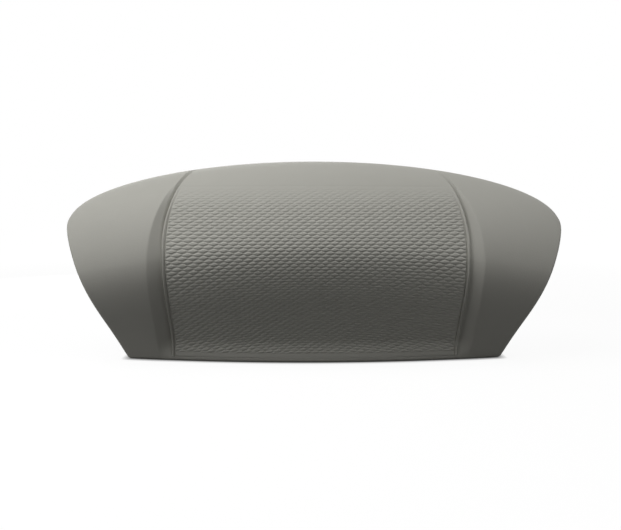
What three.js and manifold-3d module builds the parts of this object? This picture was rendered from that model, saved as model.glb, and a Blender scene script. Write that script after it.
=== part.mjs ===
// Moulded headrest pillow for a bath or spa tub: a rounded bolster with a textured pad set into its
// front, a smooth wing on each side, and two barbed pins at the back that push into the tub wall.
// Millimetres. X runs across the tub, -Y faces the bather, +Z is up, and the origin is on the base.
import * as THREE from 'three';
import { mergeVertices } from 'three/addons/utils/BufferGeometryUtils.js';
import Module from 'manifold-3d';

const wasm = await Module();
wasm.setup();

// Gap left between neighbouring pieces
const clearance = 0.3;

// Front outline: a low crown arch over two wings whose sides lean in to a straight base
const panelHalfWidth = 85.5;
const wingWidth = 64.5;
const tipOverhang = 35;
const tipHeight = 84.8;
const crownRise = 36;
const topFullness = 1.83;
const sideEase = 1;
const tipFlat = 0.4;

// Section: a superelliptic crown over the belly, and an easing undercut below it
const bellyHeight = 68.6;
const bellyDrop = 17.5;
const bellyDepth = 77.4;
const crownLand = 20;
const crownFullness = 1.72;
const bowRadius = 390;
const undercutSlope = 0.83;
const undercutKnee = 34.6;
const baseToBack = 24;

// Recess for the face pad: a slope runs down from each wing to a narrow valley along the pad's edge,
// and a lip closes the seat along the base
const recessDepth = 3.6;
const recessEnd = THREE.MathUtils.degToRad(46);
const slopeWidth = 6.7;
const slopeRest = 0.05;
const valleyFloor = 0.3;
const valleyRun = 1.5;
const valleyDepth = 1.4;
const panelTaper = 7.2;
const lipHeight = 3.4;
const seatWall = 3.2;
const tipSolid = 18;

// Face pad with a bead and a fine groove along each side
const padThickness = 5;
const beadWidth = 1.4;
const beadHeight = 0.8;
const grooveWidth = 1;
const grooveDepth = 0.5;

// Back panel and the rigid insert behind it
const backPanelThickness = 3;
const plateHeight = 46;
const plateThickness = 3;
const ribHeight = 7;
const ribThickness = 2.4;
const ribSpacing = 26;
const bossRadius = 7;
const bossLength = 15;
const bossEndWall = 2;
const keyHoleRadius = 5.5;
const keyHoleCount = 3;
const keyHolePitch = 34;

// Mounting pins, each on a sealing washer and held by one screw
const pinSpacing = 150;
const pinHeight = 62;
const flangeRadius = 13;
const flangeThickness = 3;
const shankRadius = 4.5;
const barbRadius = 6.25;
const barbCount = 3;
const barbPitch = 5.5;
const barbLand = 1;
const collarLength = 4;
const noseLength = 4;
const noseWall = 1.4;
const washerRadius = 11;
const washerThickness = 1.5;
const screwRadius = 2;
const headRadius = 3.9;
const headHeight = 2.8;
const headChamfer = 1;
const headCover = 0.9;

// Sizes that follow from the ones above
const halfWidth = panelHalfWidth + wingWidth;
const outlineHalf = halfWidth + tipFlat;
const baseHalfWidth = halfWidth - tipOverhang;
const crownHeight = tipHeight + crownRise;
const seatInset = padThickness + clearance;
const valleyEdge = panelHalfWidth + clearance + valleyFloor;
const slopeStart = valleyEdge + valleyRun;
const slopeEnd = slopeStart + slopeWidth;
const rimWall = seatInset + seatWall;
const cavityEnd = halfWidth - tipSolid;
const backY = baseToBack;
const plateBackY = backY - backPanelThickness - clearance;
const screwHole = screwRadius + clearance;
const screwBite = bossLength - bossEndWall;
const recessRadius = headRadius + clearance;

// Facet counts
const frontRows = 16;
const coreRows = 9;
const panelColumns = 4;
const flankColumns = 3;
const tipColumns = 7;
const coreTipColumns = 3;
const roundSides = 24;
const plateArcSteps = 12;

// Points closer than this are one vertex, and a cut runs this far past the face it opens
const weldDistance = 1e-4;
const cutOvershoot = 2;

// Front outline and section curves

function topEdge(x) {
  return tipHeight + crownRise * Math.pow(1 - (x / outlineHalf) ** 2, 1 / topFullness);
}

function bottomEdge(x) {
  const inboard = (outlineHalf - Math.abs(x)) / (outlineHalf - baseHalfWidth);
  return inboard >= 1 ? 0 : tipHeight * (1 - Math.pow(Math.max(inboard, 0), 1 / sideEase));
}

function bellyLine(x) {
  return bellyHeight - bellyDrop * (x / halfWidth) ** 2;
}

function bowedDepth(x) {
  return bellyDepth - (bowRadius - Math.sqrt(bowRadius ** 2 - x ** 2));
}

// A point of the front surface, sunk by inset. The angle is 0 on the belly line, a right angle on
// the crown and negative on the undercut.
function frontPoint(x, angle, inset) {
  const belly = bellyLine(x);
  const rise = topEdge(x) - belly;
  const depth = bowedDepth(x) - inset;
  if (angle < 0) {
    const drop = -rise * angle;
    const undercut = undercutSlope * (Math.hypot(drop, undercutKnee) - undercutKnee);
    return new THREE.Vector3(x, backY - depth + undercut, belly - drop);
  }
  const forward = crownLand + (depth - crownLand) * Math.max(Math.cos(angle), 0) ** (2 / crownFullness);
  const climb = (rise - inset) * Math.sin(angle) ** (2 / crownFullness);
  return new THREE.Vector3(x, backY - forward, belly + climb);
}

function angleAtHeight(x, z, inset) {
  const belly = bellyLine(x);
  const rise = topEdge(x) - belly;
  if (z < belly) {
    return (z - belly) / rise;
  }
  const climb = Math.min((z - belly) / (rise - inset), 1);
  return Math.asin(climb ** (crownFullness / 2));
}

// Height of a line along the lip, a drop below the pad's lower edge
function lipLine(x, drop) {
  const bottom = bottomEdge(x);
  return bottom + (lipHeight - drop) * (topEdge(x) - bottom) / crownHeight;
}

// Rows of the front surface run from the pad's lower edge, share 0, to the crown, share 1
function rowAngle(x, share) {
  const low = angleAtHeight(x, lipLine(x, 0), 0);
  return low + (Math.PI / 2 - low) * share;
}

// Share of the recess that is left: it runs out on the way to the crown, and the panel narrows there
function recessShare(angle) {
  return angle < 0 ? 1 : THREE.MathUtils.smoothstep(Math.cos(angle), Math.cos(recessEnd), 1);
}

// Uprightness of the front: 1 on the belly line and below, 0 on the crown
function upright(angle) {
  return angle < 0 ? 1 : Math.max(Math.cos(angle), 0);
}

function taperAt(angle) {
  return panelTaper * Math.max(Math.sin(angle), 0) ** 2;
}

// Mesh builders

function indexed(points, index) {
  const geometry = new THREE.BufferGeometry().setFromPoints(points);
  geometry.setIndex(index);
  geometry.computeVertexNormals();
  return geometry;
}

// Closed solid through rings that stand across X, with a flat cap on each end
function loft(rings) {
  const count = rings[0].length;
  const index = [];
  for (let r = 0; r + 1 < rings.length; r += 1) {
    for (let k = 0; k < count; k += 1) {
      const a = r * count + k;
      const b = r * count + (k + 1) % count;
      index.push(a, a + count, b, b, a + count, b + count);
    }
  }
  const last = (rings.length - 1) * count;
  const capOf = (ring) => {
    const outline = ring.map((p) => new THREE.Vector2(p.y, p.z));
    return THREE.ShapeUtils.triangulateShape(outline, []);
  };
  capOf(rings[0]).forEach(([a, b, c]) => index.push(a, c, b));
  capOf(rings[rings.length - 1]).forEach(([a, b, c]) => index.push(last + a, last + b, last + c));
  return indexed(rings.flat(), index);
}

// Closed solid between two grids of points, the front one nearer the bather
function slab(front, back) {
  const columns = front.length;
  const rows = front[0].length;
  const half = columns * rows;
  const at = (i, j) => i * rows + j;
  const index = [];
  const quad = (a, b, c, d) => index.push(a, b, c, a, c, d);
  for (let i = 0; i + 1 < columns; i += 1) {
    for (let j = 0; j + 1 < rows; j += 1) {
      quad(at(i, j), at(i + 1, j), at(i + 1, j + 1), at(i, j + 1));
      quad(half + at(i, j), half + at(i, j + 1), half + at(i + 1, j + 1), half + at(i + 1, j));
    }
    const top = rows - 1;
    quad(at(i + 1, 0), at(i, 0), half + at(i, 0), half + at(i + 1, 0));
    quad(at(i, top), at(i + 1, top), half + at(i + 1, top), half + at(i, top));
  }
  for (let j = 0; j + 1 < rows; j += 1) {
    const end = columns - 1;
    quad(at(0, j), at(0, j + 1), half + at(0, j + 1), half + at(0, j));
    quad(at(end, j + 1), at(end, j), half + at(end, j), half + at(end, j + 1));
  }
  return indexed([...front.flat(), ...back.flat()], index);
}

function solid(geometry) {
  const bare = geometry.clone();
  bare.deleteAttribute('normal');
  bare.deleteAttribute('uv');
  const merged = mergeVertices(bare, weldDistance);
  return new wasm.Manifold(new wasm.Mesh({
    numProp: 3,
    vertProperties: Float32Array.from(merged.attributes.position.array),
    triVerts: Uint32Array.from(merged.index.array),
  }));
}

function geometryOf(manifold) {
  const mesh = manifold.getMesh();
  const geometry = new THREE.BufferGeometry();
  geometry.setAttribute('position', new THREE.BufferAttribute(Float32Array.from(mesh.vertProperties), 3));
  geometry.setIndex(new THREE.BufferAttribute(Uint32Array.from(mesh.triVerts), 1));
  geometry.computeVertexNormals();
  return geometry;
}

// Round bar along Y between two depths
function bar(radius, x, z, fromY, toY) {
  const geometry = new THREE.CylinderGeometry(radius, radius, toY - fromY, roundSides);
  return solid(geometry.translate(x, (fromY + toY) / 2, z));
}

function block(width, depth, height, x, y, z) {
  return solid(new THREE.BoxGeometry(width, depth, height).translate(x, y, z));
}

// Places from the centre line out, closer together where the outline turns, then both sides in order
function tipPlaces(end, count) {
  const reach = end - baseHalfWidth;
  return Array.from({ length: count }, (_, i) => (
    baseHalfWidth + reach * Math.sin(Math.PI / 2 * (i + 1) / count)
  ));
}

function stations(end) {
  const panel = Array.from({ length: panelColumns }, (_, i) => panelHalfWidth * (i + 1) / panelColumns);
  const flank = Array.from({ length: flankColumns }, (_, i) => (
    THREE.MathUtils.lerp(panelHalfWidth, baseHalfWidth, (i + 1) / flankColumns)
  ));
  const half = [...panel, ...flank, ...tipPlaces(end, coreTipColumns)];
  return [...half.toReversed().map((x) => -x), 0, ...half];
}

// Body moulding: the outer bolster with its recessed panel, hollowed for the core and the pad's seat

function bodyColumns() {
  const columns = [];
  for (let i = 0; i <= panelColumns; i += 1) {
    const share = i / panelColumns;
    columns.push({ x: valleyEdge * share, taper: share, slope: 0, sunk: recessDepth, valley: valleyDepth });
  }
  columns.push({ x: slopeStart, taper: 1, slope: 0, sunk: recessDepth, valley: 0 });
  for (let i = 0; i <= flankColumns; i += 1) {
    const share = i / flankColumns;
    const x = THREE.MathUtils.lerp(slopeEnd, baseHalfWidth, share);
    columns.push({ x, taper: 1 - share, slope: 1 - share, sunk: 0, valley: 0 });
  }
  for (const x of tipPlaces(halfWidth, tipColumns)) {
    columns.push({ x, taper: 0, slope: 0, sunk: 0, valley: 0 });
  }
  return columns;
}

// Ring round one column: back, base, front and crown. The slope from wing to panel narrows towards
// the crown, and the valley beside the pad ends on the lip.
function bodyRing(column, side) {
  const nominal = side * column.x;
  const at = (angle, valley) => {
    const narrowing = column.slope * slopeWidth * (1 - slopeRest) * (1 - upright(angle) ** 3);
    const inward = column.taper * taperAt(angle) + narrowing;
    const inset = column.sunk * recessShare(angle) + valley * Math.sqrt(upright(angle));
    return frontPoint(side * (column.x - inward), angle, inset);
  };
  const base = at(angleAtHeight(nominal, bottomEdge(nominal), 0), 0);
  const ring = [new THREE.Vector3(base.x, backY, base.z), base];
  for (let k = 0; k <= frontRows; k += 1) {
    ring.push(at(rowAngle(nominal, k / frontRows), k === 0 ? 0 : column.valley));
  }
  const crown = ring[ring.length - 1];
  ring.push(new THREE.Vector3(crown.x, backY, crown.z));
  return ring;
}

// Inner section: a rim wall inside the outline, sunk further behind the recessed panel
function innerBottom(x) {
  return Math.max(rimWall, bottomEdge(Math.abs(x) + rimWall));
}

function innerInset(x, angle) {
  const reach = slopeEnd - taperAt(angle);
  const flank = THREE.MathUtils.clamp((Math.abs(x) - reach) / (baseHalfWidth - panelHalfWidth), 0, 1);
  return rimWall + recessDepth * recessShare(angle) * (1 - flank);
}

function innerRing(x, gap, openY) {
  const bottom = innerBottom(x) + gap;
  const low = angleAtHeight(x, bottom, rimWall + gap);
  const ring = [new THREE.Vector3(x, openY, bottom)];
  for (let k = 0; k <= coreRows; k += 1) {
    const angle = low + (Math.PI / 2 - low) * k / coreRows;
    const point = frontPoint(x, angle, innerInset(x, angle) + gap);
    point.z = Math.max(point.z, bottom);
    ring.push(point);
  }
  ring.push(new THREE.Vector3(x, openY, topEdge(x) - rimWall - gap));
  return ring;
}

function innerLoft(gap, openY) {
  return solid(loft(stations(cavityEnd - gap).map((x) => innerRing(x, gap, openY))));
}

// Point of the panel. The place runs from -1 on its left edge to 1 on its right edge.
function panelPoint(place, angle, grow, inset) {
  const x = place * (panelHalfWidth - taperAt(angle) + grow);
  return frontPoint(x, angle, recessDepth * recessShare(angle) + inset);
}

// Room for the pad: its own sheet with a clearance along the sides, the lip, the crown and the back
function padSeat() {
  const sheet = (inset) => {
    const columns = [];
    for (let i = -panelColumns; i <= panelColumns; i += 1) {
      const place = i / panelColumns;
      const nominal = place * panelHalfWidth;
      const angles = [angleAtHeight(nominal, lipLine(nominal, clearance), 0)];
      for (let j = 1; j <= frontRows; j += 1) {
        angles.push(rowAngle(nominal, j / frontRows));
      }
      const column = angles.map((angle) => panelPoint(place, angle, clearance, inset));
      const end = column[frontRows].clone();
      end.y += clearance;
      columns.push([...column, end]);
    }
    return columns;
  };
  return solid(slab(sheet(-cutOvershoot), sheet(seatInset)));
}

function bodyMoulding() {
  const half = bodyColumns();
  const left = half.slice(1).toReversed().map((column) => bodyRing(column, -1));
  const outer = solid(loft([...left, ...half.map((column) => bodyRing(column, 1))]));
  const cavity = innerLoft(0, backY + cutOvershoot);
  return geometryOf(outer.subtract(cavity).subtract(padSeat()));
}

// Face pad: a curved sheet that fills the recess, with a bead and a groove along each side

function facePad() {
  const edge = [
    { inward: 0, up: 0 },
    { inward: beadWidth / 2, up: beadHeight },
    { inward: beadWidth, up: 0 },
    { inward: beadWidth + grooveWidth / 2, up: -grooveDepth },
    { inward: beadWidth + grooveWidth, up: 0 },
  ];
  const columns = edge.map(({ inward, up }) => ({ place: -1, inward, up }));
  for (let i = 1 - panelColumns; i < panelColumns; i += 1) {
    columns.push({ place: i / panelColumns, inward: beadWidth + grooveWidth, up: 0 });
  }
  columns.push(...edge.toReversed().map(({ inward, up }) => ({ place: 1, inward, up })));
  const sheet = (inset, relief) => columns.map(({ place, inward, up }) => {
    const points = [];
    for (let j = 0; j <= frontRows; j += 1) {
      const angle = rowAngle(place * panelHalfWidth, j / frontRows);
      const raised = relief * up * recessShare(angle);
      points.push(panelPoint(place, angle, -inward, inset - raised));
    }
    return points;
  });
  return slab(sheet(0, 1), sheet(padThickness, 0));
}

// Rigid insert: a rounded plate with two ribs, a boss for each screw and holes that key it to the foam

function plateBlank(grow) {
  const radius = plateHeight / 2 + grow;
  const straight = pinSpacing / 2;
  const outline = new THREE.Shape();
  outline.absarc(straight, 0, radius, -Math.PI / 2, Math.PI / 2, false);
  outline.absarc(-straight, 0, radius, Math.PI / 2, 1.5 * Math.PI, false);
  const thick = plateThickness + grow;
  const sheet = new THREE.ExtrudeGeometry(outline, {
    depth: thick,
    bevelEnabled: false,
    curveSegments: plateArcSteps,
  });
  sheet.rotateX(Math.PI / 2).translate(0, plateBackY, pinHeight);
  let blank = solid(sheet);
  const frontY = plateBackY - plateThickness;
  for (const side of [-1, 1]) {
    const ribY = frontY - (ribHeight + grow) / 2 + clearance;
    const ribZ = pinHeight + side * ribSpacing / 2;
    const ribDepth = ribHeight + grow + 2 * clearance;
    blank = blank.add(block(pinSpacing, ribDepth, ribThickness + 2 * grow, 0, ribY, ribZ));
    const bossEnd = frontY - bossLength - grow;
    blank = blank.add(bar(bossRadius + grow, side * pinSpacing / 2, pinHeight, bossEnd, plateBackY));
  }
  return blank;
}

function keyHoleCentres() {
  return Array.from({ length: keyHoleCount }, (_, i) => (i - (keyHoleCount - 1) / 2) * keyHolePitch);
}

function insertPlate() {
  let plate = plateBlank(0);
  const reach = plateBackY - plateThickness - screwBite;
  for (const side of [-1, 1]) {
    plate = plate.subtract(bar(screwHole, side * pinSpacing / 2, pinHeight, reach, plateBackY + clearance));
  }
  for (const x of keyHoleCentres()) {
    const front = plateBackY - plateThickness - clearance;
    plate = plate.subtract(bar(keyHoleRadius, x, pinHeight, front, plateBackY + clearance));
  }
  return geometryOf(plate);
}

// Foam core: fills the moulding, lets the insert in from the back and keys through its holes

function foamCore() {
  let core = innerLoft(clearance, plateBackY).subtract(plateBlank(clearance));
  for (const x of keyHoleCentres()) {
    const root = plateBackY - plateThickness - 2 * clearance;
    core = core.add(bar(keyHoleRadius - clearance, x, pinHeight, root, plateBackY));
  }
  return geometryOf(core);
}

// Back panel: closes the moulding flush with its rim

function backPanel() {
  const rings = stations(cavityEnd - clearance).map((x) => {
    const bottom = innerBottom(x) + clearance;
    const top = topEdge(x) - rimWall - clearance;
    const front = backY - backPanelThickness;
    return [[backY, bottom], [front, bottom], [front, top], [backY, top]]
      .map(([y, z]) => new THREE.Vector3(x, y, z));
  });
  let panel = solid(loft(rings));
  for (const side of [-1, 1]) {
    const from = backY - backPanelThickness - cutOvershoot;
    panel = panel.subtract(bar(screwHole, side * pinSpacing / 2, pinHeight, from, backY + cutOvershoot));
  }
  return geometryOf(panel);
}

// Turned pieces: profiles of radius and height, carried round the pin's own axis along Y

function turned(profile) {
  return new THREE.LatheGeometry(profile.map(([r, y]) => new THREE.Vector2(r, y)), roundSides);
}

const washerBase = clearance;
const pinBase = washerBase + washerThickness + clearance;
const barbStart = pinBase + flangeThickness + collarLength;
const noseStart = barbStart + barbCount * barbPitch;
const pinEnd = noseStart + noseLength;
const recessFloor = pinEnd - headCover - headHeight - clearance;

function sealingWasher() {
  const top = washerBase + washerThickness;
  const loop = [[screwHole, washerBase], [washerRadius, washerBase], [washerRadius, top], [screwHole, top]];
  return turned([...loop, loop[0]]);
}

function mountingPin() {
  const noseRadius = recessRadius + noseWall;
  const flangeTop = pinBase + flangeThickness;
  const loop = [[screwHole, pinBase], [flangeRadius, pinBase]];
  loop.push([flangeRadius, flangeTop], [shankRadius, flangeTop]);
  for (let i = 0; i < barbCount; i += 1) {
    const y = barbStart + i * barbPitch;
    loop.push([shankRadius, y], [barbRadius, y]);
    loop.push([barbRadius, y + barbLand], [shankRadius, y + barbPitch - barbLand]);
  }
  loop.push([noseRadius, noseStart], [noseRadius, pinEnd]);
  loop.push([recessRadius, pinEnd], [recessRadius, recessFloor], [screwHole, recessFloor]);
  return turned([...loop, loop[0]]);
}

function pinScrew() {
  const seat = recessFloor + clearance;
  const tip = plateBackY - plateThickness - screwBite + clearance - backY;
  const crown = seat + headHeight;
  return turned([
    [0, tip], [screwRadius / 2, tip], [screwRadius, tip + screwRadius], [screwRadius, seat],
    [headRadius, seat], [headRadius, crown - headChamfer], [headRadius - headChamfer, crown], [0, crown],
  ]);
}

// Assembly

const finishes = {
  skin: { color: 0xa5a49c, roughness: 0.62, metalness: 0 },
  foam: { color: 0xe4dcc4, roughness: 0.95, metalness: 0 },
  backing: { color: 0x6f6f6b, roughness: 0.8, metalness: 0 },
  insert: { color: 0xd9d8d2, roughness: 0.5, metalness: 0 },
  pin: { color: 0x8d8c86, roughness: 0.45, metalness: 0 },
  seal: { color: 0x1d1d1d, roughness: 0.85, metalness: 0 },
  steel: { color: 0xb9bcbf, roughness: 0.3, metalness: 1 },
};

const pillow = new THREE.Group();

function place(name, geometry, finish, x = 0, y = 0, z = 0) {
  const mesh = new THREE.Mesh(geometry, new THREE.MeshStandardMaterial(finishes[finish]));
  mesh.name = name;
  mesh.position.set(x, y, z);
  pillow.add(mesh);
}

place('body_moulding', bodyMoulding(), 'skin');
place('face_pad', facePad(), 'skin');
place('foam_core', foamCore(), 'foam');
place('insert_plate', insertPlate(), 'insert');
place('back_panel', backPanel(), 'backing');
for (const [hand, side] of [['left', -1], ['right', 1]]) {
  const x = side * pinSpacing / 2;
  place(`sealing_washer_${hand}`, sealingWasher(), 'seal', x, backY, pinHeight);
  place(`mounting_pin_${hand}`, mountingPin(), 'pin', x, backY, pinHeight);
  place(`pin_screw_${hand}`, pinScrew(), 'steel', x, backY, pinHeight);
}

export default pillow;
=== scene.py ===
import bmesh
import bpy
import numpy as np
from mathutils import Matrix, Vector


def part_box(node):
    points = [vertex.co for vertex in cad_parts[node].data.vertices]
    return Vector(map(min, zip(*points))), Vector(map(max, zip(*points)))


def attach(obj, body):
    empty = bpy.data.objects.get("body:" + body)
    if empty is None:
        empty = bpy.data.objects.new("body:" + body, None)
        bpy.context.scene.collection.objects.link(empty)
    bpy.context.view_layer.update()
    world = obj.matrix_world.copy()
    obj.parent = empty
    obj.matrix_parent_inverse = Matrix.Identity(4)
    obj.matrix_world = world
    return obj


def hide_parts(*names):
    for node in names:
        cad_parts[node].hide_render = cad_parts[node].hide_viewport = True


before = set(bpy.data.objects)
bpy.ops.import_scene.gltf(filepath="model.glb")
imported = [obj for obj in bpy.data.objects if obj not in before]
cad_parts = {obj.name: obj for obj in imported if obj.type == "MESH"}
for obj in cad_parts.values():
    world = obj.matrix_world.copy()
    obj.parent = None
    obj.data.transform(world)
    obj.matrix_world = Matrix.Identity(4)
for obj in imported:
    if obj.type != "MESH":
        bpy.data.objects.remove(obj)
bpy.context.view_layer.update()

# Insert plate: a stiff plate with ribs and two screw bosses, injection moulded in natural plastic.
# It lies in the mould before the foam is poured, so that the foam grips it through its holes.


def grain_group():
    """Shader group: fine pits and slow clouds from 0 to 1, noise of two sizes on Object coordinates."""
    group = bpy.data.node_groups.new("moulded_grain", "ShaderNodeTree")
    for label in ("Pit Size", "Cloud Size"):
        group.interface.new_socket(label, in_out="INPUT", socket_type="NodeSocketFloat")
    for label in ("Pits", "Clouds"):
        group.interface.new_socket(label, in_out="OUTPUT", socket_type="NodeSocketFloat")
    source = group.nodes.new("NodeGroupInput")
    result = group.nodes.new("NodeGroupOutput")
    place = group.nodes.new("ShaderNodeTexCoord")
    for size, label, detail in (("Pit Size", "Pits", 3), ("Cloud Size", "Clouds", 4)):
        rate = group.nodes.new("ShaderNodeMath")
        rate.operation = "DIVIDE"
        rate.inputs[0].default_value = 1
        noise = group.nodes.new("ShaderNodeTexNoise")
        noise.inputs["Detail"].default_value = detail
        group.links.new(source.outputs[size], rate.inputs[1])
        group.links.new(place.outputs["Object"], noise.inputs["Vector"])
        group.links.new(rate.outputs["Value"], noise.inputs["Scale"])
        group.links.new(noise.outputs["Fac"], result.inputs[label])
    return group


moulded_grain = grain_group()


def moulded(name, colour, paler, gloss, pit_size, pit_depth, cloud_size, specular=0.4):
    """Moulded finish: the colour drifts to a paler one in clouds, roughness follows, pits give the bump.

    The colours are linear, gloss is the lowest and highest roughness and the sizes are in metres.
    """
    finish = bpy.data.materials.new(name)
    finish.use_nodes = True
    tree = finish.node_tree
    shader = tree.nodes["Principled BSDF"]
    shader.inputs["Specular IOR Level"].default_value = specular
    grain = tree.nodes.new("ShaderNodeGroup")
    grain.node_tree = moulded_grain
    grain.inputs["Pit Size"].default_value = pit_size
    grain.inputs["Cloud Size"].default_value = cloud_size
    tint = tree.nodes.new("ShaderNodeMix")
    tint.name = "tint"
    tint.data_type = "RGBA"
    tint.inputs["A"].default_value = (*colour, 1)
    tint.inputs["B"].default_value = (*paler, 1)
    dull = tree.nodes.new("ShaderNodeMapRange")
    dull.inputs["To Min"].default_value = gloss[0]
    dull.inputs["To Max"].default_value = gloss[1]
    bump = tree.nodes.new("ShaderNodeBump")
    bump.inputs["Distance"].default_value = pit_depth
    tree.links.new(grain.outputs["Clouds"], tint.inputs["Factor"])
    tree.links.new(grain.outputs["Clouds"], dull.inputs["Value"])
    tree.links.new(grain.outputs["Pits"], bump.inputs["Height"])
    tree.links.new(tint.outputs["Result"], shader.inputs["Base Color"])
    tree.links.new(dull.outputs["Result"], shader.inputs["Roughness"])
    tree.links.new(bump.outputs["Normal"], shader.inputs["Normal"])
    return finish


natural_plastic = moulded(
    "natural_plastic",
    colour=(0.68, 0.67, 0.62),
    paler=(0.74, 0.73, 0.68),
    gloss=(0.4, 0.52),
    pit_size=0.0009,
    pit_depth=0.00003,
    cloud_size=0.02,
)
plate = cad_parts["insert_plate"]
plate.material_slots[0].material = natural_plastic

# Foam core: open-cell polyurethane, poured round the insert plate, that fills the moulding.
# Its back has the pocket of the plate, with its ribs and bosses, and keys through the three holes.
body_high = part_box("body_moulding")[1]
plate_low, plate_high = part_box("insert_plate")
back_y = body_high.y
plate_back = plate_high.y
crown_height = body_high.z
half_width = body_high.x
clearance = 0.0003

tip_flat = 0.0004
tip_height = 0.0848
tip_overhang = 0.035
top_fullness = 1.83
outline_half = half_width + tip_flat
base_half_width = half_width - tip_overhang
base_corner = 0.0016

belly_height = 0.0686
belly_drop = 0.0175
belly_depth = 0.0774
crown_land = 0.02
crown_fullness = 1.72
bow_radius = 0.39
undercut_slope = 1.08
undercut_knee = 0.033
flare_start = 0.03
flare_rate = 17.0

recess_depth = 0.0043
recess_end = np.radians(62)
slope_width = 0.0064
valley_floor = 0.0003
valley_run = 0.0034
panel_half_width = 0.0867
panel_taper = 0.0147
pad_thickness = 0.005
seat_wall = 0.0032
tip_solid = 0.018
valley_edge = panel_half_width + clearance + valley_floor
slope_start = valley_edge + valley_run
slope_end = slope_start + slope_width
seat_inset = pad_thickness + clearance
rim_wall = seat_inset + seat_wall
cavity_end = half_width - tip_solid


def top_edge(x):
    """Crown line seen from the front: a superellipse over the whole length."""
    reach = np.clip(1 - (x / outline_half) ** 2, 0, 1)
    return tip_height + (crown_height - tip_height) * reach ** (1 / top_fullness)


def bottom_edge(x):
    """Base line seen from the front: zero, then a straight climb to the tip, with the corner eased."""
    inboard = np.maximum(outline_half - np.abs(x), 0) / (outline_half - base_half_width)
    climb = tip_height * (1 - inboard)
    return np.minimum((climb + np.hypot(climb, base_corner)) / 2, top_edge(x))


def belly_line(x):
    """Height of the foremost line: a parabola that falls towards the tips."""
    return belly_height - belly_drop * (x / half_width) ** 2


def front_surface(x, angle, inset):
    """Depth and height of the front, sunk by inset, at an angle from the belly line.

    Above the line a quarter of a superellipse runs back to the crown. Below it a hyperbola runs under,
    and a parabola from flare_start on brings the foot forward again.
    """
    belly = belly_line(x)
    rise = top_edge(x) - belly
    depth = belly_depth - bow_radius + np.sqrt(bow_radius**2 - x**2) - inset
    up = np.clip(angle, 0, np.pi / 2)
    drop = np.maximum(-angle, 0) * rise
    forward = crown_land + (depth - crown_land) * np.cos(up) ** (2 / crown_fullness)
    undercut = undercut_slope * (np.hypot(drop, undercut_knee) - undercut_knee)
    undercut = undercut - flare_rate / 2 * np.maximum(drop - flare_start, 0) ** 2
    climb = (rise - inset) * np.sin(up) ** (2 / crown_fullness)
    return back_y - forward + undercut, belly + climb - drop


def angle_at_height(x, z, inset=0):
    """The angle at which the front surface has that height."""
    belly = belly_line(x)
    rise = top_edge(x) - belly
    climb = np.clip((z - belly) / (rise - inset), 0, 1)
    return np.where(z < belly, (z - belly) / rise, np.arcsin(climb ** (crown_fullness / 2)))


def ease(value):
    """Smooth step from 0 to 1."""
    value = np.clip(value, 0, 1)
    return value**2 * (3 - 2 * value)


def upright(angle):
    """How upright the front stands: 1 on the belly line and below, then the cosine of the angle."""
    return np.cos(np.clip(angle, 0, np.pi / 2))


def recess_share(angle):
    """How much of the recess is left: all of it where the front is upright, eased to none at recess_end."""
    return ease((upright(angle) - np.cos(recess_end)) / (1 - np.cos(recess_end)))


def panel_edge(angle):
    """Half width of the face pad: it narrows with the fourth power of the sine towards the crown."""
    return panel_half_width - panel_taper * np.sin(np.maximum(angle, 0)) ** 4


def inner_section(x, gap, count):
    """Front of the cavity from its floor to its roof: the outer front, sunk by the wall and a gap."""
    bottom = np.maximum(rim_wall, bottom_edge(np.abs(x) + rim_wall)) + gap
    low = angle_at_height(x, bottom, rim_wall + gap)
    angle = low + (np.pi / 2 - low) * np.linspace(0, 1, count)[:, None]
    flank_start = panel_edge(angle) + slope_end - panel_half_width
    flank = np.clip((np.abs(x) - flank_start) / (base_half_width - panel_half_width), 0, 1)
    inset = rim_wall + gap + recess_depth * recess_share(angle) * (1 - flank)
    y, z = front_surface(x, angle, inset)
    return y, np.maximum(z, bottom)


def grid_faces(rows, columns, around=False):
    """Corner numbers of a grid's cells, stored row by row. Around joins the last row to the first."""
    row = np.arange(rows if around else rows - 1)[:, None]
    column = np.arange(columns - 1)[None, :]
    below = row * columns + column
    above = (row + 1) % rows * columns + column
    return np.stack([below, below + 1, above + 1, above], axis=-1).reshape(-1, 4)


weld_distance = 1e-7


def closed_piece(name, points, faces, finish, sharp=40):
    """Object of these points and faces: doubles merged, faces turned outwards, edges over sharp crisp."""
    mesh = bpy.data.meshes.new(name)
    mesh.from_pydata(points.reshape(-1, 3), [], [*faces])
    work = bmesh.new()
    work.from_mesh(mesh)
    bmesh.ops.remove_doubles(work, verts=work.verts, dist=weld_distance)
    bmesh.ops.recalc_face_normals(work, faces=work.faces)
    work.to_mesh(mesh)
    work.free()
    mesh.shade_smooth()
    mesh.set_sharp_from_angle(angle=np.radians(sharp))
    mesh.materials.append(finish)
    piece = bpy.data.objects.new(name, mesh)
    bpy.context.collection.objects.link(piece)
    return piece


core_columns = 181
core_front_rows = 48
core_back_rows = 96
core_round = 0.004
pocket_wall = 0.0014
plate_sheet = 0.003
rib_height = 0.007
rib_half = 0.0012
rib_spacing = 0.026
boss_radius = 0.007
boss_length = 0.015
key_radius = 0.0055
key_pitch = 0.034
pin_spacing = 0.15
pin_height = (plate_low.z + plate_high.z) / 2
plate_radius = (plate_high.z - plate_low.z) / 2


def pocket_share(distance):
    """1 inside an outline, and down to 0 over a short ramp outside it."""
    return np.clip(1 - (distance - clearance) / pocket_wall, 0, 1)


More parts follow.
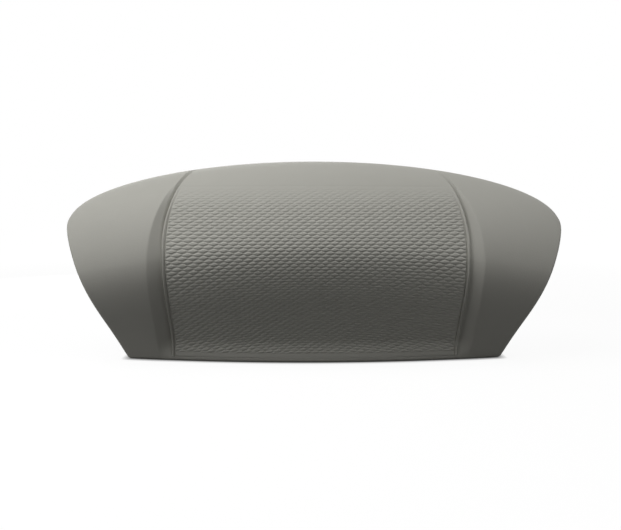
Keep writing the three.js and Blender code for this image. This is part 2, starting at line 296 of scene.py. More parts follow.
def pocket_depth(x, z):
    """Depth of the core's pocket: each shape of the plate sinks it inside its outline."""
    up = z - pin_height
    along = np.maximum(np.abs(x) - pin_spacing / 2, 0)
    depth = (plate_sheet + clearance) * pocket_share(np.hypot(along, up) - plate_radius)
    rib = np.maximum(np.abs(np.abs(up) - rib_spacing / 2) - rib_half, along)
    depth += rib_height * pocket_share(rib)
    boss = pocket_share(np.hypot(np.abs(x) - pin_spacing / 2, up) - boss_radius)
    depth = np.maximum(depth, (plate_sheet + boss_length + clearance) * boss)
    nearest = key_pitch * np.clip(np.round(x / key_pitch), -1, 1)
    key = pocket_share(np.hypot(x - nearest, up) - key_radius + pocket_wall + 2 * clearance)
    return depth * (1 - key)


core_end = cavity_end - clearance
core_x = core_end * np.sin(np.linspace(-1, 1, core_columns) * np.pi / 2)
end_turn = np.clip((np.abs(core_x) - core_end + core_round) / core_round, 0, 1)
core_gap = clearance + core_round * (1 - np.sqrt(1 - end_turn**2))
core_y, core_z = inner_section(core_x, core_gap, core_front_rows)
back_share = np.linspace(1, 0, core_back_rows)[:, None]
back_z = core_z[0] + (core_z[-1] - core_z[0]) * back_share
hollow = pocket_depth(core_x, back_z)
core_rows = core_front_rows + core_back_rows
core_points = np.empty((core_rows, core_columns, 3))
core_points[..., 0] = core_x
core_points[:core_front_rows, :, 1] = core_y
core_points[core_front_rows:, :, 1] = plate_back - hollow
core_points[:core_front_rows, :, 2] = core_z
core_points[core_front_rows:, :, 2] = back_z
core_faces = grid_faces(core_rows, core_columns, around=True).tolist()
core_ring = np.arange(core_rows) * core_columns
core_faces += [core_ring.tolist(), (core_ring + core_columns - 1).tolist()]
open_foam = moulded(
    "open_foam",
    colour=(0.72, 0.66, 0.5),
    paler=(0.8, 0.75, 0.6),
    gloss=(0.9, 1),
    pit_size=0.0012,
    pit_depth=0.0006,
    cloud_size=0.03,
    specular=0.1,
)
core = closed_piece("foam_core_poured", core_points, core_faces, open_foam)
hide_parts("foam_core")
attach(core, "root")

# Body moulding: the outer bolster, self-skinning polyurethane foam out of a closed mould. Its front
# has a slope from each wing down to a valley beside the face pad's seat, and its back is open.
edge_radius = 0.0016
back_radius = 0.002
corner_spread = 0.003
lip_height = 0.0034
valley_depth = 0.0046
valley_least = 0.12
valley_pinch = 0.0024
slope_rest = 0.05
shoulder = 0.09
slope_reach = 1.5
close_height = 0.014
edge_steps = 9
lip_steps = 4
round_steps = 6
land_steps = 7
front_steps = 150
seat_columns = 14
valley_columns = 6
slope_columns = 24
flank_columns = 14
tip_columns = 30
cavity_rows = 16

# Columns from the centre line out: their places, then their shares of what shapes each of them
seat_share = np.linspace(0, 1, seat_columns)
valley_share = np.linspace(0, 1, valley_columns)
slope_share = slope_reach * np.linspace(0, 1, slope_columns)[1:]
flank_share = np.linspace(0, 1, flank_columns)[1:]
tip_share = np.sin(np.linspace(0, np.pi / 2, tip_columns))[1:]
seat_end = panel_half_width + clearance
flank_start = slope_start + slope_reach * slope_width
half_places = np.concatenate([
    seat_end * seat_share,
    [seat_end],
    valley_edge + valley_run * valley_share,
    slope_start + slope_width * slope_share,
    flank_start + (base_half_width - flank_start) * flank_share,
    base_half_width + (outline_half - base_half_width) * tip_share,
])
in_seat = 0 * seat_share
in_valley = 0 * valley_share
in_slope = 0 * slope_share
in_wing = 0 * np.concatenate([flank_share, tip_share])
slope_profile = (1 - slope_share + np.hypot(1 - slope_share, shoulder)) / 2
half_shares = {
    "taper": [seat_share, [1], in_valley + 1, in_slope + 1, 1 - flank_share, 0 * tip_share],
    "slope": [in_seat, [0], in_valley, slope_share, slope_reach * (1 - flank_share), 0 * tip_share],
    "sunk": [in_seat + 1, [1], in_valley + 1, slope_profile, in_wing],
    "valley": [in_seat, [1], 1 - valley_share, in_slope, in_wing],
    "run": [in_seat, [0], valley_share, in_slope + 1, 1 - flank_share, 0 * tip_share],
    "seat": [in_seat + 1, [0], in_valley, in_slope, in_wing],
}


def mirrored(half):
    """Values of a half row, from the tip in to the centre line and out to the other tip."""
    return np.concatenate([half[:0:-1], half])


side = np.concatenate([-np.ones(half_places.size - 1), np.ones(half_places.size)])
nominal = side * mirrored(half_places)
column = {name: mirrored(np.concatenate(parts)) for name, parts in half_shares.items()}


def lip_line(x, height):
    """Height of a line along the lip, in proportion to the section's own height."""
    bottom = bottom_edge(x)
    return bottom + height * (top_edge(x) - bottom) / crown_height


# Rows from the base up: the rounded edge, the lip, the wall of the seat, then the front to the crown
seat_low = lip_height - clearance
edge_rows = edge_radius * (1 - np.cos(np.linspace(0, np.pi / 2, edge_steps)))
lip_rows = np.linspace(edge_radius, seat_low, lip_steps)[1:]
low_rows = np.concatenate([edge_rows, lip_rows, [seat_low]])
low_angle = angle_at_height(nominal, lip_line(nominal, low_rows[:, None]))
pad_angle = angle_at_height(nominal, lip_line(nominal, lip_height))
front_share = np.linspace(0, 1, front_steps)[:, None]
front_angle = pad_angle + (np.pi / 2 - pad_angle) * front_share
angle = np.concatenate([low_angle, front_angle])
row_seat = np.concatenate([np.zeros(low_rows.size - 1), np.ones(front_steps + 1)])[:, None]


def outline_lean(line, x, reach=1e-5):
    """Unit vector across an outline, from its slope over reach: how much points along X and along Z."""
    slope = (line(x + reach) - line(x - reach)) / (2 * reach)
    return slope / np.hypot(slope, 1), 1 / np.hypot(slope, 1)


def edge_turn(distance):
    """Setback of a rounded edge: a quarter circle over the distance from the outline."""
    turn = np.clip(1 - distance / edge_radius, 0, 1)
    return edge_radius * (1 - np.sqrt(1 - turn**2))


def recess_opening(x, angle):
    """How far the recess is open above the lip: an eased step over close_height from the base line."""
    return ease((front_surface(x, angle, 0)[1] - bottom_edge(x)) / close_height)


def valley_sink(angle):
    """Depth of the valley: least on the belly line, more with the squared sine, and none on the crown."""
    level = upright(angle)
    return valley_depth * (valley_least + (1 - valley_least) * (1 - level**2)) * np.sqrt(level)


def body_shell():
    """Outer skin from back edge to back edge over the front, row by row, as an array of points.

    Towards the crown the columns move in with the pad's edge, and the slope narrows with the cube of the
    upright share. The recess, the valley and the seat then sink the front, and quarter circles round the
    lower edge and both edges of the back.
    """
    share = recess_share(angle)
    inward = column["taper"] * (panel_half_width - panel_edge(angle))
    inward = inward + column["slope"] * slope_width * (1 - slope_rest) * (1 - upright(angle) ** 3)
    inward = inward + column["run"] * valley_pinch * upright(angle)
    x = nominal - side * inward
    opened = recess_opening(nominal, angle)
    inset = recess_depth * share * column["sunk"] * opened
    inset = inset + valley_sink(angle) * column["valley"] * opened
    inset = inset + seat_inset * column["seat"] * row_seat
    y, z = front_surface(x, angle, inset)
    within = np.clip(nominal, -half_width, half_width)
    flat_x = np.abs(nominal) <= half_width
    level_x, level_z = outline_lean(bottom_edge, within, corner_spread)
    level_x = np.where(flat_x, level_x, side)
    level_z = np.where(flat_x, level_z, 0)
    y = y + edge_turn((z - bottom_edge(nominal)) * outline_lean(bottom_edge, within)[1])
    front = np.stack([x, y, z], axis=-1)

    turn = np.linspace(0, np.pi / 2, round_steps)[:, None]
    run = np.linspace(0, 1, land_steps)[:, None]
    back_turn = back_y - back_radius * (1 - np.sin(turn))
    setback = back_radius * (1 - np.cos(turn))

    wall_y = y[0] + clearance + (back_y - back_radius - y[0] - clearance) * run
    wall = np.stack([x[0] + 0 * run, wall_y, z[0] + 0 * run], axis=-1)
    low_x = x[0] - level_x * setback
    low_round = np.stack([low_x, back_turn + 0 * x[0], z[0] + level_z * setback], axis=-1)

    top_x, top_z = outline_lean(top_edge, np.clip(x[-1], -half_width, half_width))
    top_x = np.where(flat_x, top_x, -side)
    top_z = np.where(flat_x, top_z, 0)
    crown = top_edge(x[-1])
    seat_stop = np.stack([x[-1], y[-1] + clearance, z[-1]], axis=-1)[None]
    land_y = y[-1] + clearance + (back_y - back_radius - y[-1] - clearance) * run
    land = np.stack([x[-1] + 0 * run, land_y, crown + 0 * run], axis=-1)
    high_x = x[-1] + top_x * setback
    top_round = np.stack([high_x, back_turn + 0 * crown, crown - top_z * setback], axis=-1)
    return np.concatenate([low_round[:0:-1], wall[::-1], front, seat_stop, land, top_round[1:]])


shell = body_shell()
shell_rows, shell_columns = shell.shape[:2]
mouth_corner = base_half_width - rim_wall + rim_wall * tip_overhang / tip_height
mouth_reach = [0, mouth_corner, cavity_end]
cavity_x = side * np.interp(np.abs(nominal), [0, base_half_width, outline_half], mouth_reach)
cavity_y, cavity_z = inner_section(cavity_x, 0, cavity_rows)
cavity = np.empty((cavity_rows + 2, shell_columns, 3))
cavity[..., 0] = cavity_x
cavity[1:-1, :, 1] = cavity_y
cavity[1:-1, :, 2] = cavity_z
cavity[[0, -1], :, 1] = back_y
cavity[[0, -1], :, 2] = cavity_z[[0, -1]]

shell_size = shell_rows * shell_columns
cavity_rings = cavity_rows + 2
low_rim = np.arange(shell_columns)
high_rim = low_rim + (shell_rows - 1) * shell_columns
low_mouth = low_rim + shell_size
high_mouth = low_mouth + (cavity_rings - 1) * shell_columns


def strip(first, second):
    """Faces between two lines of points, from the points' numbers."""
    return np.stack([first[:-1], first[1:], second[1:], second[:-1]], axis=-1).tolist()


body_faces = grid_faces(shell_rows, shell_columns).tolist()
body_faces += (grid_faces(cavity_rings, shell_columns) + shell_size).tolist()
body_faces += strip(low_rim, low_mouth)
body_faces += strip(high_rim, high_mouth)
for end in (0, shell_columns - 1):
    body_faces.append([int(low_rim[end]), int(low_mouth[end]), int(high_mouth[end])])
    body_faces.append((low_mouth[end] + np.arange(cavity_rings) * shell_columns).tolist())
body_points = np.concatenate([shell.reshape(-1, 3), cavity.reshape(-1, 3)])

warm_grey = (0.43, 0.424, 0.384)
warm_grey_pale = (0.455, 0.449, 0.409)
grey_skin = moulded(
    "grey_skin",
    colour=warm_grey,
    paler=warm_grey_pale,
    gloss=(0.58, 0.7),
    pit_size=0.0008,
    pit_depth=0.00006,
    cloud_size=0.012,
    specular=0.25,
)
body = closed_piece("bolster_skin", body_points, body_faces, grey_skin)
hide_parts("body_moulding")
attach(body, "root")

# Face pad: a softer sheet of the same skinned foam, moulded with small pillowed cells and bonded into
# the seat. A bead and a fine groove run up each side, and a fine line closes the cells at the top.
pad_rows = 721
pad_cells = 300
bead_width = 0.0015
bead_height = 0.001
bead_fullness = 0.8
bead_steps = 8
groove_width = 0.0006
groove_depth = 0.0004
groove_steps = 4
cell_width = 0.00492
cell_spread = 7.0
row_pitch = 0.00178
section_steps = 2000
fan_height = 0.079
fan_rate = 25.5
cell_height = 0.00043
lens_half = 0.62
lens_wall = 0.4
lens_tilt = 0.2
cells_low = 0.0055
cells_high = 0.1047
cells_fade = 0.0012
cells_margin = 0.0003
cells_ebb = 0.013
pad_swell = 0.0002
line_depth = 0.00008
line_width = 0.0004
back_rows_every = 5
back_columns_every = 4

bead_share = np.linspace(0, 1, bead_steps + 1)
groove_share = np.linspace(0, 1, groove_steps + 1)[1:]
trim_inward = np.concatenate([bead_width * bead_share, bead_width + groove_width * groove_share])
trim_relief = np.concatenate([
    bead_height * np.sin(np.pi * bead_share) ** bead_fullness,
    -groove_depth * np.sin(np.pi * groove_share) ** 2,
])
trim_width = bead_width + groove_width
cell_share = np.linspace(-1, 1, pad_cells + 1)[1:-1]
pad_share = np.concatenate([-np.ones(trim_inward.size), cell_share, np.ones(trim_inward.size)])
pad_inward = np.concatenate([trim_inward, trim_width + 0 * cell_share, trim_inward[::-1]])
pad_relief = np.concatenate([trim_relief, 0 * cell_share, trim_relief[::-1]])
pad_columns = pad_share.size


def cell_relief(x, z):
    """Pillowed lenses in staggered rows, from 0 on the floor between them to 1 on their flat tops.

    A lens lies between two parabolas, lens_half rows from its middle line, which climbs lens_tilt rows from
    end to end, and its wall is a quarter wave of lens_wall rows. The rows follow the length of the centre
    section, and spread towards the sides below fan_height.
    """
    centre_angle = angle_at_height(np.zeros(1), np.zeros(1)) + np.linspace(0, 1, section_steps) * np.pi
    centre_angle = centre_angle[centre_angle <= np.pi / 2]
    centre_y, centre_z = front_surface(np.zeros(centre_angle.size), centre_angle, 0)
    steps = np.hypot(np.diff(centre_y), np.diff(centre_z))
    length = np.concatenate([[0], np.cumsum(steps)])
    fanned = fan_height - (fan_height - z) / (1 + fan_rate * x**2)
    along = np.interp(np.where(z > fan_height, z, fanned), centre_z, length) / row_pitch
    across = np.arctan(cell_spread * x) / (cell_spread * cell_width)
    inside = np.zeros_like(across)
    for row in (np.floor(along), np.ceil(along)):
        place = across + row / 2
        place = place - np.round(place)
        above = np.abs(along - row - lens_tilt * place)
        inside = np.maximum(inside, lens_half * (1 - 4 * place**2) - above)
    return np.sin(np.pi / 2 * np.minimum(inside / lens_wall, 1))


def pad_sheet():
    """Front and back of the pad: the recessed front, and the same surface sunk by the pad's thickness.

    The cells, the beads, the grooves and the line at the top are raised along the front's own normals.
    """
    foot = pad_share * panel_half_width
    low = angle_at_height(foot, lip_line(foot, lip_height - pad_swell))
    angle = low + (np.pi / 2 - low) * np.linspace(0, 1, pad_rows)[:, None]
    share = recess_share(angle)
    x = pad_share * (panel_edge(angle) - pad_inward)
    inset = recess_depth * share * recess_opening(foot, angle)
    y, z = front_surface(x, angle, inset)
    sheet = np.stack([x, y, z], axis=-1)
    normal = np.cross(np.gradient(sheet, axis=1), np.gradient(sheet, axis=0))
    normal /= np.linalg.norm(normal, axis=-1, keepdims=True)
    inside = ease((panel_edge(angle) - trim_width - np.abs(x)) / cells_margin)
    inside = inside * ease((z - cells_low) / cells_fade) * np.clip((cells_high - z) / cells_ebb, 0, 1)
    relief = cell_height * cell_relief(x, z) * inside + pad_relief * share
    relief -= line_depth * np.exp(-(((z - cells_high) / line_width) ** 2)) * (pad_relief == 0)
    y_back, z_back = front_surface(x, angle, inset + pad_thickness)
    return sheet + normal * relief[..., None], np.stack([x, y_back, z_back], axis=-1)


pad_front, pad_back = pad_sheet()
pad_back = pad_back[::back_rows_every, ::back_columns_every]
back_rows, back_columns = pad_back.shape[:2]
pad_size = pad_rows * pad_columns
pad_points = np.concatenate([pad_front.reshape(-1, 3), pad_back.reshape(-1, 3)])
front_number = np.arange(pad_size).reshape(pad_rows, pad_columns)
back_number = np.arange(back_rows * back_columns).reshape(back_rows, back_columns) + pad_size


def edge_wall(fine, coarse, every):
    """Faces from a fine border to a coarse one: each coarse step meets a run of fine ones."""
    runs = np.stack([fine[step:fine.size - every + step:every] for step in range(every + 1)], axis=-1)
    return np.concatenate([runs, coarse[1:, None], coarse[:-1, None]], axis=-1).tolist()


pad_faces = grid_faces(pad_rows, pad_columns).tolist()
pad_faces += (grid_faces(back_rows, back_columns) + pad_size).tolist()
for end in (0, -1):
    pad_faces += edge_wall(front_number[:, end], back_number[:, end], back_rows_every)
    pad_faces += edge_wall(front_number[end], back_number[end], back_columns_every)
celled_skin = moulded(
    "celled_skin",
    colour=warm_grey,
    paler=warm_grey_pale,
    gloss=(0.56, 0.68),
    pit_size=0.0008,
    pit_depth=0.00004,
    cloud_size=0.012,
    specular=0.25,
)
pad = closed_piece("celled_face", pad_points, pad_faces, celled_skin, sharp=60)
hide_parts("face_pad")
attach(pad, "root")

# Back panel: a flat sheet of darker plastic with a spark-eroded texture, glued in flush with the
# moulding's rim. The screws of the two pins pass through it into the bosses of the plate.
panel_thickness = 0.003
panel_bevel = 0.0004
screw_hole = 0.0023
hole_steps = 40


def panel_outline():
    """Closed outline in X and Z: the cavity's mouth, less the clearance, along its floor and its roof."""
    x = np.unique(cavity_x) * (1 - clearance / cavity_end)
    floor = np.maximum(rim_wall, bottom_edge(np.abs(x) + rim_wall)) + clearance
    roof = top_edge(x) - rim_wall - clearance
    return np.concatenate([np.stack([x, floor], axis=-1), np.stack([x, roof], axis=-1)[::-1]])


def flat_sheet(name, outlines, thickness, bevel):
    """Mesh of a flat sheet in X and Y with holes: a filled curve, with its edges bevelled."""
    curve = bpy.data.curves.new(name, "CURVE")
    curve.dimensions = "2D"
    curve.fill_mode = "BOTH"
    curve.extrude = thickness / 2 - bevel
    curve.bevel_depth = bevel
    curve.bevel_resolution = 2
    curve.offset = -bevel
    for outline in outlines:
        spline = curve.splines.new("POLY")
        spline.points.add(len(outline) - 1)
        flat = np.column_stack([outline, np.zeros(len(outline)), np.ones(len(outline))])
        spline.points.foreach_set("co", flat.ravel())
        spline.use_cyclic_u = True
    holder = bpy.data.objects.new(name, curve)
    mesh = bpy.data.meshes.new_from_object(holder)
    bpy.data.objects.remove(holder)
    bpy.data.curves.remove(curve)
    return mesh


hole_turn = np.arange(hole_steps) * 2 * np.pi / hole_steps
hole = screw_hole * np.stack([np.cos(hole_turn), np.sin(hole_turn)], axis=-1)
holes = [hole + (hand * pin_spacing / 2, pin_height) for hand in (-1, 1)]
sheet = flat_sheet("back_panel_sheet", [panel_outline(), *holes], panel_thickness, panel_bevel)
sheet_points = np.empty(len(sheet.vertices) * 3)
sheet.vertices.foreach_get("co", sheet_points)
sheet_points = sheet_points.reshape(-1, 3)
panel_points = np.column_stack([
    sheet_points[:, 0],
    back_y - panel_thickness / 2 - sheet_points[:, 2],
    sheet_points[:, 1],
])
panel_faces = [[*face.vertices] for face in sheet.polygons]
bpy.data.meshes.remove(sheet)
spark_plastic = moulded(
    "spark_plastic",
    colour=(0.165, 0.165, 0.155),
    paler=(0.19, 0.19, 0.18),
    gloss=(0.62, 0.78),
    pit_size=0.0007,
    pit_depth=0.00025,
    cloud_size=0.025,
)
panel = closed_piece("back_panel_textured", panel_points, panel_faces, spark_plastic)
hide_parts("back_panel")
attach(panel, "root")

# Sealing washers: punched from soft black rubber, one under the flange of each pin, so that no water
# reaches the foam along the screw.
washer_radius = 0.011
washer_thickness = 0.0015
washer_base = clearance
soft_corner = 0.0003
largest_share = 0.45
turn_sides = 96
hands = {"left": -1, "right": 1}


def softened(profile, radius, steps=4):
    """Closed profile with each corner turned into a parabola that starts a radius away from it.

    On a short side it starts at the largest share of that side's length.
    """
    corner = np.asarray(profile, float)
    share = np.linspace(0, 1, steps)[None, :, None]
    ends = []
    for step in (1, -1):
        away = np.roll(corner, step, axis=0) - corner
        length = np.linalg.norm(away, axis=1, keepdims=True)
        ends.append((corner + away * np.minimum(radius / length, largest_share))[:, None])
    start, end = ends
    middle = corner[:, None]
    curve = (1 - share) ** 2 * start + 2 * share * (1 - share) * middle + share**2 * end
    return curve.reshape(-1, 2)


def turned(profile, hand):
    """Points of a closed profile of radius and height, carried round a pin's axis along Y."""
    around = np.arange(turn_sides + 1) * 2 * np.pi / turn_sides
    radius, height = profile[:, :1], profile[:, 1:]
    x = hand * pin_spacing / 2 + radius * np.cos(around)
    z = pin_height + radius * np.sin(around)
    return np.stack([x, back_y + height + 0 * around, z], axis=-1)


washer_top = washer_base + washer_thickness
washer_loop = softened(
    [
        (screw_hole, washer_base),
        (washer_radius, washer_base),
        (washer_radius, washer_top),
        (screw_hole, washer_top),
    ],
    soft_corner,
)
black_rubber = moulded(
    "black_rubber",
    colour=(0.012, 0.012, 0.012),
    paler=(0.022, 0.022, 0.022),
    gloss=(0.7, 0.85),
    pit_size=0.0005,
    pit_depth=0.00004,
    cloud_size=0.004,
)
for hand, sign in hands.items():
    faces = grid_faces(len(washer_loop), turn_sides + 1, around=True).tolist()
    washer = closed_piece(f"rubber_washer_{hand}", turned(washer_loop, sign), faces, black_rubber)
    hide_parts(f"sealing_washer_{hand}")
    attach(washer, "root")

# Mounting pins: moulded nylon plugs with a wide flange and three barbs that snap into holes drilled in
# the tub wall. Each is held by one screw, whose head sits in the hollow nose.
flange_radius = 0.013
flange_thickness = 0.003
shank_radius = 0.0045
barb_radius = 0.00625
barb_count = 3
barb_pitch = 0.0055
barb_land = 0.001
collar_length = 0.004
nose_length = 0.004
nose_wall = 0.0014
screw_radius = 0.002
head_radius = 0.0039
head_height = 0.0028
head_chamfer = 0.001
head_cover = 0.0009
recess_radius = head_radius + clearance
pin_base = washer_top + clearance
barb_start = pin_base + flange_thickness + collar_length
nose_start = barb_start + barb_count * barb_pitch
pin_end = nose_start + nose_length
recess_floor = pin_end - head_cover - head_height - clearance
pin_corner = 0.00045

pin_loop = [(screw_hole, pin_base), (flange_radius, pin_base)]
pin_loop += [(flange_radius, pin_base + flange_thickness), (shank_radius, pin_base + flange_thickness)]
for barb in range(barb_count):
    foot = barb_start + barb * barb_pitch
    pin_loop += [(shank_radius, foot), (barb_radius, foot), (barb_radius, foot + barb_land)]
    pin_loop += [(shank_radius, foot + barb_pitch - barb_land)]
pin_loop += [(recess_radius + nose_wall, nose_start), (recess_radius + nose_wall, pin_end)]
pin_loop += [(recess_radius, pin_end), (recess_radius, recess_floor), (screw_hole, recess_floor)]
pin_loop = softened(pin_loop, pin_corner)
grey_nylon = moulded(
    "grey_nylon",
    colour=(0.265, 0.26, 0.24),
    paler=(0.3, 0.295, 0.275),
    gloss=(0.34, 0.46),
    pit_size=0.0006,
    pit_depth=0.00003,
    cloud_size=0.006,
)
for hand, sign in hands.items():
    faces = grid_faces(len(pin_loop), turn_sides + 1, around=True).tolist()
    pin = closed_piece(f"barbed_pin_{hand}", turned(pin_loop, sign), faces, grey_nylon)
    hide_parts(f"mounting_pin_{hand}")
    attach(pin, "root")

# Pin screws: stainless pan-head screws with a cross recess, driven through the pin, the washer and the
# panel into a boss of the plate. The thread is rolled, so its crests stand on the shank.
thread_pitch = 0.0015
thread_depth = 0.0004
thread_length = 0.016
thread_rings = 12
point_share = 0.25
cross_width = 0.0009
cross_reach = 0.0021
cross_depth = 0.0012
cross_wall = cross_width / 4
head_rings = 28
dome_rings = 7
screw_seat = recess_floor + clearance
screw_crown = screw_seat + head_height
screw_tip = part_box("pin_screw_left")[0].y - back_y


def screw_points(hand):
    """Rings from tip to crown: a radius for each height, a helical ridge and a cross sunk in the head."""
    around = np.arange(turn_sides + 1) * 2 * np.pi / turn_sides
    shank = np.linspace(screw_tip, screw_seat, int((screw_seat - screw_tip) / thread_pitch * thread_rings))
    taper = ease((shank - screw_tip) / (2 * screw_radius))
    ridge = np.abs((shank[:, None] / thread_pitch - around / (2 * np.pi)) % 1 - 0.5) * 2
    threaded = ease((screw_tip + thread_length - shank) / thread_pitch)[:, None]
    root = screw_radius * (point_share + (1 - point_share) * taper[:, None])
    shank_radii = root - thread_depth * (1 - ridge) * threaded * taper[:, None]
    wall = np.array([(head_radius, screw_seat), (head_radius, screw_crown - head_chamfer)])
    dome = np.linspace(0, np.pi / 2, dome_rings)
    dome_radii = head_radius - head_chamfer * (1 - np.cos(dome))
    dome_heights = screw_crown - head_chamfer * (1 - np.sin(dome))
    flat = np.linspace(head_radius - head_chamfer, 0, head_rings)[1:]
    radii = np.concatenate([wall[:, 0], dome_radii[1:], flat])
    heights = np.concatenate([wall[:, 1], dome_heights[1:], screw_crown + 0 * flat])
    radius = np.concatenate([0 * around[None], shank_radii, radii[:, None] + 0 * around])
    height = np.concatenate([[screw_tip], shank, heights])[:, None] + 0 * around
    across = np.abs(radius * np.cos(around))
    along = np.abs(radius * np.sin(around))
    arm = np.maximum(np.minimum(across, along) - cross_width / 2, np.maximum(across, along) - cross_reach)
    sunk = cross_depth * np.clip(-arm / cross_wall, 0, 1)
    on_crown = height > screw_crown - head_chamfer / 8
    height = height - sunk * on_crown
    x = hand * pin_spacing / 2 + radius * np.cos(around)
    return np.stack([x, back_y + height, pin_height + radius * np.sin(around)], axis=-1)


steel_grey = (0.6, 0.61, 0.62)
steel_gloss = (0.2, 0.4)
ring_rates = (800, 9000, 800)


def turned_steel():
    """Bright steel: metallic, with its gloss drawn out in fine rings round the screw."""
    finish = bpy.data.materials.new("turned_steel")
    finish.use_nodes = True
    tree = finish.node_tree
    shader = tree.nodes["Principled BSDF"]
    shader.inputs["Base Color"].default_value = (*steel_grey, 1)
    shader.inputs["Metallic"].default_value = 1
    place = tree.nodes.new("ShaderNodeTexCoord")
    stretch = tree.nodes.new("ShaderNodeMapping")
    stretch.inputs["Scale"].default_value = ring_rates
    scratch = tree.nodes.new("ShaderNodeTexNoise")
    scratch.inputs["Scale"].default_value = 1
    dull = tree.nodes.new("ShaderNodeMapRange")
    dull.inputs["To Min"].default_value = steel_gloss[0]
    dull.inputs["To Max"].default_value = steel_gloss[1]
    tree.links.new(place.outputs["Object"], stretch.inputs["Vector"])
    tree.links.new(stretch.outputs["Vector"], scratch.inputs["Vector"])
    tree.links.new(scratch.outputs["Fac"], dull.inputs["Value"])
    tree.links.new(dull.outputs["Result"], shader.inputs["Roughness"])
    return finish


bright_steel = turned_steel()
for hand, sign in hands.items():
    points = screw_points(sign)
    faces = grid_faces(points.shape[0], turn_sides + 1).tolist()
    screw = closed_piece(f"cross_screw_{hand}", points, faces, bright_steel)
    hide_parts(f"pin_screw_{hand}")
    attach(screw, "root")

# Studio: a pale floor that runs out to white, soft lamps above and low down on both sides, most of
# them from the left, and a low one behind. The camera stands a little above the pillow's middle, as
# in the photograph.
floor_size = 4.0
floor_albedo = 0.1
floor_glow = 0.93
floor_clear = 0.3
floor_white = 0.9
# Reach of the painted contact shadow: ambient occlusion darkens the floor's glow within this distance of
# the pillow.
painted_shadow_reach = 0.0045
sky_light = 0.005
lamp_distance = 0.55
lamp_size = 0.4


def seen_directly(tree):
    """Socket that is 1 for camera, glossy and transmission rays and 0 for the light that they leave."""
    path = tree.nodes.new("ShaderNodeLightPath")
    total = path.outputs["Is Camera Ray"]
    for ray in ("Is Glossy Ray", "Is Transmission Ray"):
        either = tree.nodes.new("ShaderNodeMath")
        either.operation = "MAXIMUM"
        tree.links.new(total, either.inputs[0])
        tree.links.new(path.outputs[ray], either.inputs[1])
        total = either.outputs["Value"]
    return total


def pale_floor():
    """Diffuse floor with a glow for direct view, darkened near the contact by a painted contact shadow, and
    alone far from the pillow.
    """
    finish = bpy.data.materials.new("pale_floor")
    finish.use_nodes = True
    tree = finish.node_tree
    tree.nodes.clear()
    output = tree.nodes.new("ShaderNodeOutputMaterial")
    diffuse = tree.nodes.new("ShaderNodeBsdfDiffuse")
    diffuse.inputs["Color"].default_value = (floor_albedo, floor_albedo, floor_albedo, 1)
    place = tree.nodes.new("ShaderNodeTexCoord")
    reach = tree.nodes.new("ShaderNodeVectorMath")
    reach.operation = "LENGTH"
    fade = tree.nodes.new("ShaderNodeMapRange")
    fade.inputs["From Min"].default_value = floor_clear
    fade.inputs["From Max"].default_value = floor_white
    fade.inputs["To Min"].default_value = floor_glow
    fade.inputs["To Max"].default_value = 1
    # Painted contact shadow: ambient occlusion colours the glow, so the floor darkens next to the pillow.
    painted_contact_shadow = tree.nodes.new("ShaderNodeAmbientOcclusion")
    painted_contact_shadow.inputs["Distance"].default_value = painted_shadow_reach
    strength = tree.nodes.new("ShaderNodeMath")
    strength.operation = "MULTIPLY"
    glow = tree.nodes.new("ShaderNodeEmission")
    both = tree.nodes.new("ShaderNodeAddShader")
    tree.links.new(place.outputs["Object"], reach.inputs[0])
    tree.links.new(reach.outputs["Value"], fade.inputs["Value"])
    tree.links.new(fade.outputs["Result"], strength.inputs[0])
    tree.links.new(seen_directly(tree), strength.inputs[1])
    tree.links.new(strength.outputs["Value"], glow.inputs["Strength"])
    tree.links.new(painted_contact_shadow.outputs["Color"], glow.inputs["Color"])
    tree.links.new(diffuse.outputs["BSDF"], both.inputs[0])
    tree.links.new(glow.outputs["Emission"], both.inputs[1])
    tree.links.new(both.outputs["Shader"], output.inputs["Surface"])
    return finish


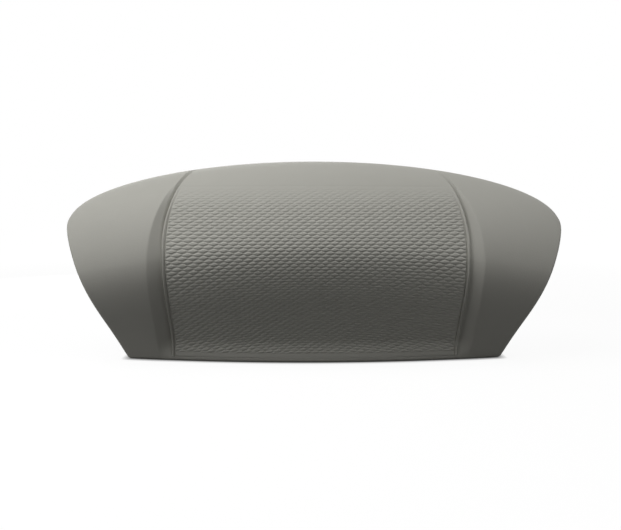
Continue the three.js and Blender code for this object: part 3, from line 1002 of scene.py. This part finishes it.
floor_mesh = bpy.data.meshes.new("studio_floor")
floor_corners = floor_size / 2 * np.array([(-1, -1, 0), (1, -1, 0), (1, 1, 0), (-1, 1, 0)])
floor_mesh.from_pydata(floor_corners, [], [(0, 1, 2, 3)])
floor_mesh.materials.append(pale_floor())
floor = bpy.data.objects.new("studio_floor", floor_mesh)
bpy.context.collection.objects.link(floor)

world = bpy.data.worlds.new("studio_sky")
world.use_nodes = True
sky = world.node_tree.nodes["Background"]
sky.inputs["Color"].default_value = (1, 1, 1, 1)
sky_level = world.node_tree.nodes.new("ShaderNodeMapRange")
sky_level.inputs["To Min"].default_value = sky_light
sky_level.inputs["To Max"].default_value = 1
world.node_tree.links.new(seen_directly(world.node_tree), sky_level.inputs["Value"])
world.node_tree.links.new(sky_level.outputs["Result"], sky.inputs["Strength"])
bpy.context.scene.world = world


def soft_lamp(name, azimuth, elevation, power):
    """Square area lamp aimed at the pillow's middle, azimuth degrees left of the front."""
    lamp = bpy.data.lights.new(name, "AREA")
    lamp.size = lamp_size
    lamp.energy = power
    left, up = np.radians(azimuth), np.radians(elevation)
    away = Vector((-np.sin(left) * np.cos(up), -np.cos(left) * np.cos(up), np.sin(up)))
    holder = bpy.data.objects.new(name, lamp)
    holder.location = Vector((0, 0, crown_height / 2)) + away * lamp_distance
    holder.rotation_euler = (-away).to_track_quat("-Z", "Y").to_euler()
    holder.visible_camera = False
    bpy.context.collection.objects.link(holder)


soft_lamp("key_lamp", azimuth=45, elevation=58, power=1.36)
soft_lamp("left_lamp", azimuth=70, elevation=45, power=0.5)
soft_lamp("low_left_lamp", azimuth=70, elevation=10, power=0.53)
soft_lamp("right_lamp", azimuth=-60, elevation=50, power=0.79)
soft_lamp("low_right_lamp", azimuth=-30, elevation=10, power=0.27)
soft_lamp("back_lamp", azimuth=165, elevation=12, power=1.4)

camera_eye = Vector((-0.0089, -0.4288, 0.0938))
camera_aim = Vector((-0.0034, -0.048, 0.0612))
camera = bpy.data.cameras.new("camera")
camera.sensor_width = 36
camera.lens = 40.3
camera.clip_start = 0.01
viewer = bpy.data.objects.new("camera", camera)
viewer.location = camera_eye
viewer.rotation_euler = (camera_aim - camera_eye).to_track_quat("-Z", "Y").to_euler()
bpy.context.collection.objects.link(viewer)
bpy.context.scene.camera = viewer
bpy.context.scene.view_settings.view_transform = "Standard"
